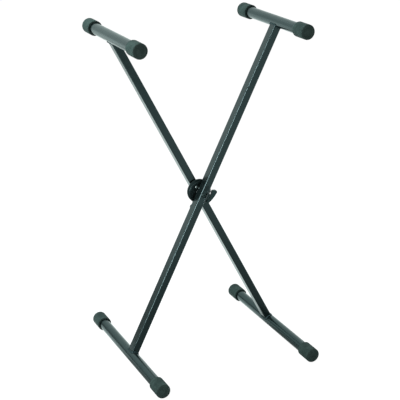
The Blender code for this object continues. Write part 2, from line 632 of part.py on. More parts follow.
def spring_route():
    """Points along the torsion spring's wire, in the trigger's axes."""
    lever_end = Vector(about_trigger([polar(*LEVER_LEG)])[0])
    arm_end = Vector((0.0, -ARM_LEG))
    lever_turn = tangent_angle(lever_end, -1)
    arm_turn = tangent_angle(arm_end, 1)
    y_lever = -HUB_THICKNESS / 2 - CLEARANCE - WIRE_RADIUS
    y_arm = INNER_FACE + CLEARANCE + WIRE_RADIUS
    sweep = (lever_turn - arm_turn) % (2 * math.pi) + 2 * math.pi * (COIL_TURNS - 1)
    steps = 14 * COIL_TURNS
    points = [(arm_end.x, INNER_FACE - ARM_WALL, arm_end.y), (arm_end.x, y_arm, arm_end.y)]
    for i in range(steps + 1):
        share = i / steps
        x, z = polar(COIL_RADIUS, arm_turn + sweep * share)
        points.append((x, y_arm + (y_lever - y_arm) * share, z))
    points += [(lever_end.x, y_lever, lever_end.y), (lever_end.x, LEVER_THICKNESS / 2, lever_end.y)]
    return points


def tangent_angle(point, side):
    """Where on the coil a straight leg to the point leaves it."""
    return math.atan2(point.y, point.x) + side * math.acos(COIL_RADIUS / point.length)


def build_spring(frame):
    """Round wire wound round the shoulder rivet, one end in the lever and one in the arm."""
    curve = bpy.data.curves.new("trigger_spring", 'CURVE')
    curve.dimensions = '3D'
    curve.bevel_depth = WIRE_RADIUS
    curve.bevel_resolution = 2
    curve.use_fill_caps = True
    route = spring_route()
    spline = curve.splines.new('POLY')
    spline.points.add(len(route) - 1)
    for point, place in zip(spline.points, route):
        point.co = (*place, 1.0)
    curve.materials.append(black_zinc("trigger_spring_steel"))
    spring = bpy.data.objects.new("trigger_spring", curve)
    bpy.data.collections[PARTS].objects.link(spring)
    spring.parent = frame
    return spring


def arm_spring_slot(frame, arm):
    """Slot in the front arm's inner wall that the spring's end moves along."""
    back = ARM_LEG * math.sin(TRIGGER_PULLED) + WIRE_RADIUS + 2 * CLEARANCE
    ahead = ARM_LEG * math.sin(TRIGGER_ENGAGED) + WIRE_RADIUS + 2 * CLEARANCE
    half = WIRE_RADIUS + 2 * CLEARANCE
    z = -TRIGGER_DROP - ARM_LEG
    outline = [(-back, z - half), (ahead, z - half), (ahead, z + half), (-back, z + half)]
    mesh = flat_plate("arm_spring_slot", outline, 2 * (ARM_GAP / 2 + ARM_WALL + CUT_MARGIN))
    boolean(arm, add_object("arm_spring_slot", mesh, frame))


def build_stand():
    """Both frames on the pivot, then what sits on the bolt, the disc and the trigger."""
    pivot = Matrix.Translation((0.0, 0.0, PIVOT_HEIGHT))
    lean = Matrix.Rotation(HALF_ANGLE, 4, 'Y')
    rear = axis_empty("rear_frame_axis", None, pivot @ Matrix.Rotation(math.pi, 4, 'Z') @ lean)
    front = axis_empty("fold_axis", None, pivot @ lean)
    trigger = axis_empty("trigger_axis", front, Matrix.Translation((0.0, 0.0, -TRIGGER_DROP)))

    rivet_hole = DISC_RIVET_RADIUS + CLEARANCE
    build_arm("rear_arm", rear, [(rivet_hole, 0.0, DISC_RIVET_REACH), (rivet_hole, 0.0, -DISC_RIVET_REACH)])
    front_arm = build_arm("front_arm", front, [(TENON_RADIUS + CLEARANCE, 0.0, -TRIGGER_DROP)])
    arm_spring_slot(front, front_arm)
    build_bars_and_caps(rear, "upper_left", "lower_right", "back", "front")
    build_bars_and_caps(front, "upper_right", "lower_left", "front", "back")

    build_sleeve("rear_arm_sleeve", rear)
    build_sleeve("front_arm_sleeve", front)
    build_bolt(pivot_mount(rear))
    build_nut(rear)
    build_spacer_and_washer(front, rear)
    build_disc(rear)
    build_disc_rivets(rear)

    build_lever(trigger)
    build_grip(trigger)
    build_shoulder_rivet(front)
    build_spring(trigger)


def pivot_mount(rear):
    """Empty on the rear frame with the front frame's axes, for the bolt that points the other way."""
    return axis_empty("bolt_axis", rear, Matrix.Rotation(math.pi, 4, 'Z'))


clear_scene()
build_stand()
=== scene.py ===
"""Looks of a folding keyboard stand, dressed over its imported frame.

Units are metres. +Z is up, +X is to the right and -Y is to the front. The front frame leans to the
right at the top and the rear frame to the left. Each frame also has its own axes: the origin on the
pivot, +Z up along its arm, X across the arm and -Y away from the other frame.
"""
import json
import logging
import math
from collections.abc import Callable, Iterable, Sequence
from dataclasses import dataclass, replace
from enum import Enum

import bmesh
import bpy
from mathutils import Matrix, Vector


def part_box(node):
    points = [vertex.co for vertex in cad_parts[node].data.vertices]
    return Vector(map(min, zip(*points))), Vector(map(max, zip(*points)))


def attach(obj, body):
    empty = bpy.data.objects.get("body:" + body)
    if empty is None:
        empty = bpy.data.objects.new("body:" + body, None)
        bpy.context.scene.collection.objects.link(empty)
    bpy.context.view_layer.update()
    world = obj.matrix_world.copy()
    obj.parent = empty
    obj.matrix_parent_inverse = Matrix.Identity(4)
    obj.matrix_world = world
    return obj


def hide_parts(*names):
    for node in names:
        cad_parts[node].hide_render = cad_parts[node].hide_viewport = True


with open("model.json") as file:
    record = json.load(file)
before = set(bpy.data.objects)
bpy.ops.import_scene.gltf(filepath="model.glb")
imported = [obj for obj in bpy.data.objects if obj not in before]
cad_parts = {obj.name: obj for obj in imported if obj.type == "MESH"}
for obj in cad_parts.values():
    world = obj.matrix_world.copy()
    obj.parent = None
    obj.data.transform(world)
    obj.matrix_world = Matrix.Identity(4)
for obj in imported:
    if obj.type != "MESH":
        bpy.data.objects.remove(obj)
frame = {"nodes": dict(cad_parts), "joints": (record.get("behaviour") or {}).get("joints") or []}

LOG = logging.getLogger("keyboard_stand")
SEAT_GAP = 0.0003
MERGE = 0.000005
TURN_MERGE = 0.000002
NODE_MERGE = 0.00001
FLAT_DEGREES = 0.5
LEVEL = 0.9
QUARTER_TURN = [math.radians(15.0 * step) for step in range(7)]
WHITE = (1.0, 1.0, 1.0)
COLOUR = 'NodeSocketColor'
NUMBER = 'NodeSocketFloat'

Piece = bpy.types.Object
Material = bpy.types.Material
Point = tuple[float, float]
Triple = tuple[float, float, float]
Socket = bpy.types.NodeSocket
Inputs = dict[str | int, object]


class Side(Enum):
    """The two crossed frames, by the name of the body that each one is."""

    FRONT = "front_frame"
    REAR = "rear_frame"


class End(Enum):
    """The two ends of an arm, by the way that they lie from the pivot."""

    TOP = 1
    FOOT = -1


# Modelling steps that several pieces use

def activate(obj: Piece) -> None:
    """Make one object the only selected one and the active one.

    Args:
        obj: The object.
    """
    bpy.ops.object.select_all(action='DESELECT')
    obj.select_set(True)
    bpy.context.view_layer.objects.active = obj


def named(name: str) -> Piece:
    """Name the primitive that was just added.

    Args:
        name: Name of the object and of its mesh.

    Returns:
        The added object, ready for edit mode.
    """
    obj = bpy.context.active_object
    obj.name = name
    obj.data.name = name
    activate(obj)
    return obj


def edit_mode(on: bool) -> None:
    """Enter or leave edit mode on the active object."""
    bpy.ops.object.mode_set(mode='EDIT' if on else 'OBJECT')


def edit_all() -> None:
    """Enter edit mode on the active object with all of it selected."""
    edit_mode(True)
    bpy.ops.mesh.select_mode(type='VERT')
    bpy.ops.mesh.select_all(action='SELECT')


def bake_place() -> None:
    """Move the active object's place, turn and scale into its mesh."""
    bpy.ops.object.transform_apply(location=True, rotation=True, scale=True)


def choose_faces(obj: Piece, test: Callable[[bmesh.types.BMFace], bool]) -> None:
    """Select the faces of the mesh under edit that pass a test, and nothing else.

    Args:
        obj: Object in edit mode.
        test: Takes one face and says whether it is selected.
    """
    bpy.ops.mesh.select_mode(type='FACE')
    bpy.ops.mesh.select_all(action='DESELECT')
    mesh = bmesh.from_edit_mesh(obj.data)
    for face in mesh.faces:
        if test(face):
            face.select_set(True)
    bmesh.update_edit_mesh(obj.data)


def modify(obj: Piece, kind: str, **settings: object) -> None:
    """Add a modifier, set it and apply it.

    Args:
        obj: Object that gets the modifier.
        kind: Blender's name of the modifier's type.
        **settings: Properties of the modifier and their values.
    """
    activate(obj)
    modifier = obj.modifiers.new(kind.lower(), kind)
    for key, value in settings.items():
        setattr(modifier, key, value)
    bpy.ops.object.modifier_apply(modifier=modifier.name)


def combine(obj: Piece, other: Piece, operation: str) -> None:
    """Change an object's form with another object, which is used up.

    Args:
        obj: Object that is changed.
        other: The other object.
        operation: Blender's name of the boolean operation.
    """
    modify(obj, 'BOOLEAN', operation=operation, solver='EXACT', object=other)
    bpy.data.objects.remove(other, do_unlink=True)


def carve(obj: Piece, cutters: Iterable[Piece]) -> None:
    """Cut an object with others, which are used up.

    Args:
        obj: Object that is cut.
        cutters: Objects whose shapes are taken away from it.
    """
    for cutter in cutters:
        combine(obj, cutter, 'DIFFERENCE')
    edit_all()
    bpy.ops.mesh.remove_doubles(threshold=MERGE)
    bpy.ops.mesh.dissolve_degenerate(threshold=MERGE)
    edit_mode(False)


def soften(obj: Piece, width: float, segments: int = 3, angle: float = 35.0,
           sharp: float | None = None) -> None:
    """Round the edges of a finished form and shade it smooth.

    Args:
        obj: Object to soften.
        width: Size of the rounding.
        segments: Faces across the rounding.
        angle: Edges that turn more than this many degrees are rounded.
        sharp: Edges that turn more than this many degrees stay sharp, the same as angle if not given.
    """
    modify(obj, 'BEVEL', width=width, segments=segments, limit_method='ANGLE',
           angle_limit=math.radians(angle), use_clamp_overlap=True)
    shade(obj, angle if sharp is None else sharp)


def shade(obj: Piece, angle: float = 35.0) -> None:
    """Shade an object smooth except over sharp edges, with flats kept flat.

    Args:
        obj: Object to shade.
        angle: Edges that turn more than this many degrees stay sharp.
    """
    activate(obj)
    bpy.ops.object.shade_smooth_by_angle(angle=math.radians(angle))
    modify(obj, 'WEIGHTED_NORMAL', keep_sharp=True, weight=60)


def seat(obj: Piece, place: Matrix) -> None:
    """Put a piece in its place, in its mesh, so that its object stays at the origin.

    Args:
        obj: The piece.
        place: Matrix of its place.
    """
    activate(obj)
    obj.matrix_world = place
    bake_place()


def copied(obj: Piece, name: str) -> Piece:
    """Copy an object, with a mesh of its own.

    Args:
        obj: Object to copy.
        name: Name of the copy.

    Returns:
        The copy.
    """
    activate(obj)
    bpy.ops.object.duplicate(linked=False)
    return named(name)


def refined(node: str, name: str, width: float, segments: int = 3) -> Piece:
    """Copy of a CAD node with its flats made whole and its edges rounded.

    Args:
        node: Name of the CAD node.
        name: Name of the new piece.
        width: Size of the rounding.
        segments: Faces across the rounding.

    Returns:
        The new piece, in the node's place.
    """
    obj = bpy.data.objects.new(name, frame["nodes"][node].data.copy())
    bpy.context.scene.collection.objects.link(obj)
    activate(obj)
    edit_all()
    bpy.ops.mesh.customdata_custom_splitnormals_clear()
    bpy.ops.mesh.remove_doubles(threshold=NODE_MERGE)
    bpy.ops.mesh.dissolve_limited(angle_limit=math.radians(FLAT_DEGREES))
    edit_mode(False)
    soften(obj, width, segments)
    return obj


def turned(name: str, profile: Sequence[Point], steps: int = 96, closed: bool = False) -> Piece:
    """Shape turned about the Y axis.

    Args:
        name: Name of the new object.
        profile: (radius, y) points, in order.
        steps: Faces in one turn.
        closed: Whether the last point joins the first, as for a ring.

    Returns:
        The turned object, about the Y axis through the origin.
    """
    bpy.ops.mesh.primitive_plane_add(size=0.001, location=(0.0, 0.0, 0.0))
    obj = named(name)
    edit_all()
    bpy.ops.mesh.merge(type='CENTER')
    points = [Vector((radius, y, 0.0)) for radius, y in profile]
    bpy.ops.transform.translate(value=points[0])
    ahead = points[1:] + ([points[0]] if closed else [])
    for start, stop in zip(points, ahead):
        bpy.ops.mesh.extrude_region_move(TRANSFORM_OT_translate={"value": stop - start})
    bpy.ops.mesh.select_all(action='SELECT')
    bpy.ops.mesh.spin(steps=steps, angle=2 * math.pi, center=(0.0, 0.0, 0.0), axis=(0.0, 1.0, 0.0))
    bpy.ops.mesh.select_all(action='SELECT')
    bpy.ops.mesh.remove_doubles(threshold=TURN_MERGE)
    bpy.ops.mesh.normals_make_consistent(inside=False)
    edit_mode(False)
    return obj


def dome(radius: float, top: float, height: float, flat: float = 0.0) -> list[Point]:
    """Quarter-round profile, as (radius, y) points from its top to its rim.

    Args:
        radius: Radius of the rim.
        top: y of the top.
        height: Signed distance from the top to the rim.
        flat: Radius of the flat at the top.

    Returns:
        The points.
    """
    return [(flat + (radius - flat) * math.sin(a), top + height * (1.0 - math.cos(a))) for a in QUARTER_TURN]


def rod(name: str, radius: float, start: float, stop: float, centre: Point = (0.0, 0.0),
        sides: int = 64) -> Piece:
    """Plain cylinder along Y, as a cutter or a blank.

    Args:
        name: Name of the new object.
        radius: Radius at the corners.
        start: Lowest y.
        stop: Highest y.
        centre: x and z of its axis.
        sides: Faces round it.

    Returns:
        The cylinder, with its place in its mesh.
    """
    bpy.ops.mesh.primitive_cylinder_add(
        vertices=sides, radius=radius, depth=stop - start,
        location=(centre[0], (start + stop) / 2, centre[1]), rotation=(math.pi / 2, 0.0, 0.0))
    obj = named(name)
    bake_place()
    return obj


# Finishes

class NodeDesk:
    """Short ways to add and join the nodes of one node tree."""

    def __init__(self, tree: bpy.types.NodeTree) -> None:
        """Keep the tree that the nodes go into."""
        self.tree = tree

    def fill(self, node: bpy.types.Node, inputs: Inputs) -> bpy.types.Node:
        """Give a node's inputs their values.

        Args:
            node: The node.
            inputs: Inputs, by name or number, and the number, colour or output that goes into each.

        Returns:
            The same node.
        """
        for key, value in inputs.items():
            if isinstance(value, Socket):
                self.tree.links.new(value, node.inputs[key])
            else:
                node.inputs[key].default_value = value
        return node

    def add(self, kind: str, inputs: Inputs | None = None, **settings: object) -> bpy.types.Node:
        """Add a node, set its properties and fill its inputs.

        Args:
            kind: Blender's name of the node's type.
            inputs: Inputs and what goes into them, as for fill.
            **settings: Properties of the node and their values.

        Returns:
            The new node.
        """
        node = self.tree.nodes.new(kind)
        for key, value in settings.items():
            setattr(node, key, value)
        return self.fill(node, inputs or {})

    def math(self, operation: str, first: object, second: object = 0.0) -> Socket:
        """Calculate with two numbers or sockets, by Blender's name of the operation."""
        return self.add('ShaderNodeMath', {0: first, 1: second}, operation=operation).outputs[0]

    def noise(self, vector: Socket, scale: object, detail: float, roughness: float = 0.5) -> Socket:
        """Noise from 0 to 1 over a vector, with its octaves and the strength of the finer ones."""
        inputs = {"Vector": vector, "Scale": scale, "Detail": detail, "Roughness": roughness}
        return self.add('ShaderNodeTexNoise', inputs).outputs["Fac"]

    def ramp(self, value: Socket, low: object, high: object, to_low: object = 0.0,
             to_high: object = 1.0) -> Socket:
        """Take a value smoothly from the range low to high to the range to_low to to_high."""
        inputs = {"Value": value, "From Min": low, "From Max": high, "To Min": to_low, "To Max": to_high}
        return self.add('ShaderNodeMapRange', inputs, interpolation_type='SMOOTHSTEP').outputs["Result"]

    def mix(self, factor: Socket, first: object, second: object) -> Socket:
        """Mix two colours by the second one's share, each given as three numbers or a socket."""
        one, two = (colour if isinstance(colour, Socket) else (*colour, 1.0) for colour in (first, second))
        return self.add('ShaderNodeMix', {"Factor": factor, 6: one, 7: two}, data_type='RGBA').outputs[2]


def new_group(name: str, inputs: Sequence[tuple[str, str, object]],
              outputs: Sequence[tuple[str, str]]) -> tuple[NodeDesk, bpy.types.Node, bpy.types.Node]:
    """Empty shader group with named sockets.

    Args:
        name: Name of the group.
        inputs: (name, socket type, default value) of each input.
        outputs: (name, socket type) of each output.

    Returns:
        The desk of the group's tree, its input node and its output node.
    """
    tree = bpy.data.node_groups.new(name, 'ShaderNodeTree')
    for label, kind, value in inputs:
        socket = tree.interface.new_socket(name=label, in_out='INPUT', socket_type=kind)
        socket.default_value = value
    for label, kind in outputs:
        tree.interface.new_socket(name=label, in_out='OUTPUT', socket_type=kind)
    desk = NodeDesk(tree)
    return desk, desk.add('NodeGroupInput'), desk.add('NodeGroupOutput')


def mottle_group() -> bpy.types.NodeTree:
    """Cloudy drift between two colours, with a finer grain over it.

    Returns:
        The group's tree.
    """
    desk, given, made = new_group(
        "cloudy_mottle",
        [("First", COLOUR, (0.0, 0.0, 0.0, 1.0)), ("Second", COLOUR, (0.1, 0.1, 0.1, 1.0)),
         ("Scale", NUMBER, 30.0), ("Low", NUMBER, 0.35), ("High", NUMBER, 0.65)],
        [("Color", COLOUR)])
    place = desk.add('ShaderNodeTexCoord').outputs["Object"]
    broad = desk.noise(place, given.outputs["Scale"], 3.0, 0.55)
    fine = desk.noise(place, desk.math('MULTIPLY', given.outputs["Scale"], 6.0), 2.0)
    both = desk.math('ADD', desk.math('MULTIPLY', broad, 0.7), desk.math('MULTIPLY', fine, 0.3))
    mask = desk.ramp(both, given.outputs["Low"], given.outputs["High"])
    desk.fill(made, {"Color": desk.mix(mask, given.outputs["First"], given.outputs["Second"])})
    return desk.tree


def grain_group() -> bpy.types.NodeTree:
    """Uneven skin: a height for a bump and a roughness that drifts with it.

    Returns:
        The group's tree.
    """
    desk, given, made = new_group(
        "surface_grain",
        [("Scale", NUMBER, 400.0), ("Ripple", NUMBER, 0.5), ("Smooth", NUMBER, 0.3), ("Rough", NUMBER, 0.5)],
        [("Height", NUMBER), ("Roughness", NUMBER)])
    place = desk.add('ShaderNodeTexCoord').outputs["Object"]
    grain = desk.noise(place, given.outputs["Scale"], 2.0)
    ripple = desk.noise(place, desk.math('MULTIPLY', given.outputs["Scale"], 0.22), 1.0)
    share = desk.math('MULTIPLY', ripple, given.outputs["Ripple"])
    height = desk.math('ADD', grain, share)
    drift = desk.noise(place, desk.math('MULTIPLY', given.outputs["Scale"], 0.06), 3.0, 0.6)
    rough = desk.ramp(drift, 0.3, 0.7, given.outputs["Smooth"], given.outputs["Rough"])
    desk.fill(made, {"Height": height, "Roughness": rough})
    return desk.tree


def dust_group() -> bpy.types.NodeTree:
    """Thin dust that settles on faces that look up, broken up by noise.

    Returns:
        The group's tree.
    """
    desk, given, made = new_group(
        "settled_dust",
        [("Color", COLOUR, (0.0, 0.0, 0.0, 1.0)), ("Dust", COLOUR, (0.3, 0.3, 0.3, 1.0)),
         ("Amount", NUMBER, 0.1)],
        [("Color", COLOUR)])
    split = desk.add('ShaderNodeSeparateXYZ', {0: desk.add('ShaderNodeNewGeometry').outputs["Normal"]})
    up = desk.ramp(split.outputs["Z"], 0.2, 0.95)
    place = desk.add('ShaderNodeTexCoord').outputs["Object"]
    patches = desk.ramp(desk.noise(place, 45.0, 4.0, 0.65), 0.4, 0.75)
    amount = desk.math('MULTIPLY', desk.math('MULTIPLY', up, patches), given.outputs["Amount"])
    desk.fill(made, {"Color": desk.mix(amount, given.outputs["Color"], given.outputs["Dust"])})
    return desk.tree


@dataclass(frozen=True)
class Finish:
    """Surface finish over a Principled shader, with drifting colour, roughness and a fine skin.

    Colours are linear. Scales are per metre.
    """

    name: str
    first: Triple
    second: Triple
    smooth: float
    rough: float
    mottle_scale: float = 35.0
    mottle_low: float = 0.35
    mottle_high: float = 0.65
    grain_scale: float = 700.0
    ripple: float = 0.5
    bump: float = 0.00004
    bump_strength: float = 0.35
    metallic: float = 0.0
    specular: float = 0.5
    tint: Triple = WHITE
    dust: float = 0.0
    dust_colour: Triple = (0.25, 0.27, 0.27)

    def material(self) -> Material:
        """Build the finish's material, or give the one built before.

        Returns:
            The material, shared by every piece with this finish.
        """
        label = self.name + "_finish"
        known = bpy.data.materials.get(label)
        if known:
            return known
        made = bpy.data.materials.new(label)
        made.use_nodes = True
        made.diffuse_color = (*self.first, 1.0)
        desk = NodeDesk(made.node_tree)
        mottle = self._placed(desk, "cloudy_mottle", mottle_group, {
            "First": (*self.first, 1.0), "Second": (*self.second, 1.0), "Scale": self.mottle_scale,
            "Low": self.mottle_low, "High": self.mottle_high})
        dust = self._placed(desk, "settled_dust", dust_group, {
            "Color": mottle.outputs["Color"], "Dust": (*self.dust_colour, 1.0), "Amount": self.dust})
        grain = self._placed(desk, "surface_grain", grain_group, {
            "Scale": self.grain_scale, "Ripple": self.ripple, "Smooth": self.smooth, "Rough": self.rough})
        bump = desk.add('ShaderNodeBump', {
            "Distance": self.bump, "Strength": self.bump_strength, "Height": grain.outputs["Height"]})
        desk.fill(made.node_tree.nodes["Principled BSDF"], {
            "Base Color": dust.outputs["Color"], "Metallic": self.metallic,
            "Roughness": grain.outputs["Roughness"], "Specular IOR Level": self.specular,
            "Specular Tint": (*self.tint, 1.0), "Normal": bump.outputs["Normal"]})
        return made

    @staticmethod
    def _placed(desk: NodeDesk, name: str, build: Callable[[], bpy.types.NodeTree],
                inputs: Inputs) -> bpy.types.Node:
        """Place a shared group in a material, built on its first use, and fill its inputs."""
        tree = bpy.data.node_groups.get(name) or build()
        return desk.add('ShaderNodeGroup', inputs, node_tree=tree)


class Finishes:
    """The stand's finishes."""

    TUBE_PAINT = Finish("gloss_black_paint", (0.0042, 0.0070, 0.0070), (0.0065, 0.0100, 0.0098), 0.17, 0.24,
                        mottle_scale=22.0, grain_scale=850.0, bump=0.000012, specular=0.60,
                        tint=(0.66, 0.96, 1.0), dust=0.03)
    BAR_PAINT = replace(TUBE_PAINT, name="gloss_bar_paint", first=(0.0042, 0.0075, 0.0076),
                        second=(0.0065, 0.0106, 0.0106), tint=(0.54, 0.96, 1.0))
    WELD_PAINT = Finish("painted_weld", (0.0065, 0.0130, 0.0135), (0.016, 0.026, 0.027), 0.26, 0.42,
                        mottle_scale=160.0, grain_scale=1500.0, bump=0.00008, bump_strength=0.5,
                        tint=(0.55, 0.92, 1.0))
    DISC_PAINT = Finish("satin_black_paint", (0.0060, 0.0085, 0.0080), (0.0110, 0.0150, 0.0140), 0.24, 0.34,
                        mottle_scale=60.0, grain_scale=1100.0, bump=0.00002, tint=(0.65, 0.95, 1.0),
                        dust=0.02)
    RUBBER = Finish("black_rubber", (0.024, 0.040, 0.037), (0.046, 0.073, 0.067), 0.62, 0.80,
                    mottle_scale=45.0, mottle_low=0.36, mottle_high=0.7, grain_scale=1500.0, ripple=0.8,
                    bump=0.00006, bump_strength=0.4, specular=0.18, tint=(0.8, 1.0, 0.96), dust=0.06)
    BLACK_ZINC = Finish("black_zinc", (0.028, 0.042, 0.042), (0.050, 0.071, 0.071), 0.30, 0.42,
                        mottle_scale=120.0, grain_scale=1400.0, metallic=1.0, bump=0.00002,
                        tint=(0.25, 0.32, 0.32))
    RIVET_ZINC = Finish("rubbed_black_zinc", (0.22, 0.26, 0.26), (0.32, 0.36, 0.36), 0.20, 0.30,
                        mottle_scale=260.0, grain_scale=1400.0, metallic=1.0, bump=0.00001)
    WIRE = Finish("spring_wire", (0.10, 0.11, 0.11), (0.16, 0.17, 0.17), 0.25, 0.38, mottle_scale=300.0,
                  grain_scale=2500.0, metallic=1.0, bump=0.00001)
    GRIP = Finish("moulded_grip", (0.012, 0.027, 0.026), (0.021, 0.042, 0.041), 0.42, 0.58,
                  mottle_scale=140.0, grain_scale=2200.0, bump=0.00006, bump_strength=0.45,
                  tint=(0.65, 0.97, 1.0))
    NYLON = Finish("nylon", (0.29, 0.34, 0.33), (0.40, 0.46, 0.45), 0.40, 0.52, mottle_scale=200.0,
                   grain_scale=1800.0, bump=0.00002)


def deliver(obj: Piece, body: str, finish: Finish, node: str | None = None) -> None:
    """Dress a finished piece, make it ride on its body and report it.

    Args:
        obj: The finished piece.
        body: CAD body that it moves with.
        finish: Its finish.
        node: CAD node that it stands for, if any.

    Raises:
        ValueError: The piece has no faces.
    """
    if not obj.data.polygons:
        raise ValueError(f"{obj.name} has no faces")
    obj.data.materials.clear()
    obj.data.materials.append(finish.material())
    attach(obj, body)
    if node:
        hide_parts(node)
    LOG.info("%s rides on %s with %d faces", obj.name, body, len(obj.data.polygons))


def dress_node(node: str, finish: Finish) -> None:
    """Give a CAD node that stays its finish.

    Args:
        node: Name of the CAD node.
        finish: Its finish.
    """
    for slot in frame["nodes"][node].material_slots:
        slot.material = finish.material()
    LOG.info("%s keeps its CAD shape", node)


# Sub-assemblies

@dataclass(frozen=True)
class Stance:
    """Where the frames cross and how they lean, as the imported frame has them."""

    pivot: Vector
    trigger: Vector
    lean: float
    upper_reach: float
    lower_reach: float

    @classmethod
    def from_frame(cls) -> "Stance":
        """Read the stance from the joints and from the bars of the front frame.

        Returns:
            The stance at rest.
        """
        places = {joint["name"]: Vector(joint["pos_m"]) for joint in frame["joints"]}
        pivot = places["fold"]
        upper = cls._middle("upper_right_bar") - pivot
        lower = cls._middle("lower_left_bar") - pivot
        return cls(pivot, places["trigger_pull"], math.atan2(upper.x, upper.z),
                   math.hypot(upper.x, upper.z), math.hypot(lower.x, lower.z))

    @staticmethod
    def _middle(node: str) -> Vector:
        """Middle of a CAD node's box."""
        low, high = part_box(node)
        return (low + high) / 2

    def axes(self, side: Side) -> Matrix:
        """Matrix from a frame's own axes to the row frame."""
        turn = Matrix.Rotation(0.0 if side is Side.FRONT else math.pi, 4, 'Z')
        return Matrix.Translation(self.pivot) @ turn @ Matrix.Rotation(self.lean, 4, 'Y')

    def reach(self, end: End) -> float:
        """Signed distance from the pivot to a bar's axis, along the arm."""
        return self.upper_reach if end is End.TOP else -self.lower_reach


@dataclass
class CrossBar:
    """Round tube across one end of an arm, with the weld bead that holds it."""

    side: Side
    end: End
    name: str
    wall: float = 0.0015
    rim: float = 0.0003
    sides: int = 96

    @property
    def node(self) -> str:
        """Name of the CAD node that the tube stands for."""
        return self.name + "_bar"

    @property
    def radius(self) -> float:
        """Outer radius of the tube."""
        low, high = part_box(self.node)
        return (high.x - low.x) / 2

    def build(self) -> None:
        """Model the tube: an open cylinder, given its wall and rounded rims."""
        low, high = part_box(self.node)
        bpy.ops.mesh.primitive_cylinder_add(
            vertices=self.sides, radius=self.radius, depth=high.y - low.y, end_fill_type='NOTHING',
            location=(low + high) / 2, rotation=(math.pi / 2, 0.0, 0.0))
        tube = named(self.name + "_tube")
        bake_place()
        modify(tube, 'SOLIDIFY', thickness=self.wall, offset=-1.0, use_even_offset=True)
        soften(tube, self.rim, 2)
        deliver(tube, self.side.value, Finishes.BAR_PAINT, self.node)


@dataclass
class WeldBead:
    """Bead of weld round the joint of an arm and a cross bar."""

    stance: Stance
    side: Side
    end: End
    name: str
    bar_radius: float
    arm_width: float = 0.022
    arm_depth: float = 0.030
    arm_corner: float = 0.003
    arm_middle: float = -0.0195
    radius: float = 0.0021
    stand_off: float = 0.0007
    ripples: int = 46
    ripple_depth: float = 0.16
    round_it: int = 368
    across: int = 14
    smooth_angle: float = 80.0

    def build(self) -> None:
        """Model the bead: a ring bent to the joint's line, with the ripples that welding leaves."""
        bpy.ops.mesh.primitive_torus_add(
            major_segments=self.round_it, minor_segments=self.across, major_radius=1.0,
            minor_radius=self.radius, location=(0.0, 0.0, 0.0))
        bead = named(self.name + "_weld")
        for vertex in bead.data.vertices:
            vertex.co = self._bent(vertex.co)
        edit_all()
        bpy.ops.mesh.normals_make_consistent(inside=False)
        edit_mode(False)
        seat(bead, self.stance.axes(self.side))
        shade(bead, self.smooth_angle)
        deliver(bead, self.side.value, Finishes.WELD_PAINT)

    def _bent(self, point: Vector) -> Vector:
        """Place on the bead of a point of the plain ring.

        Args:
            point: Point of the ring of radius 1 about Z.

        Returns:
            The point in the frame's own axes.
        """
        turn = math.atan2(point.y, point.x)
        middle, outward = self._line(turn)
        swell = 1.0 + self.ripple_depth * math.sin(turn * self.ripples) * math.cos(point.z / self.radius)
        out = (math.hypot(point.x, point.y) - 1.0) * swell
        along = point.z * swell
        return middle + outward * out + Vector((0.0, 0.0, along))

    def _line(self, turn: float) -> tuple[Vector, Vector]:
        """Point of the joint's line, a rounded rectangle laid over the bar, and the way out of it.

        Args:
            turn: Angle round the arm, in radians.

        Returns:
            The point on the line, just off the arm and the bar, and the unit vector away from the arm.
        """
        radius = self.arm_corner + self.stand_off
        halves = (self.arm_width / 2 - self.arm_corner, self.arm_depth / 2 - self.arm_corner)
        corner = math.pi * radius / 2
        around = 4 * (sum(halves) + corner)
        left = ((turn / (2 * math.pi)) % 1.0 * around + halves[1]) % around
        for side in range(4):
            reach, half = halves[side % 2], halves[1 - side % 2]
            if left <= 2 * half + corner or side == 3:
                break
            left -= 2 * half + corner
        spin = Matrix.Rotation(side * math.pi / 2, 3, 'Z')
        bend = max(0.0, left - 2 * half) / radius
        outward = spin @ Vector((math.cos(bend), math.sin(bend), 0.0))
        point = spin @ Vector((reach, min(left, 2 * half) - half, 0.0)) + outward * radius
        lift = math.sqrt((self.bar_radius + self.stand_off) ** 2 - point.x ** 2)
        height = self.stance.reach(self.end) - self.end.value * lift
        return Vector((point.x, point.y + self.arm_middle, height)), outward


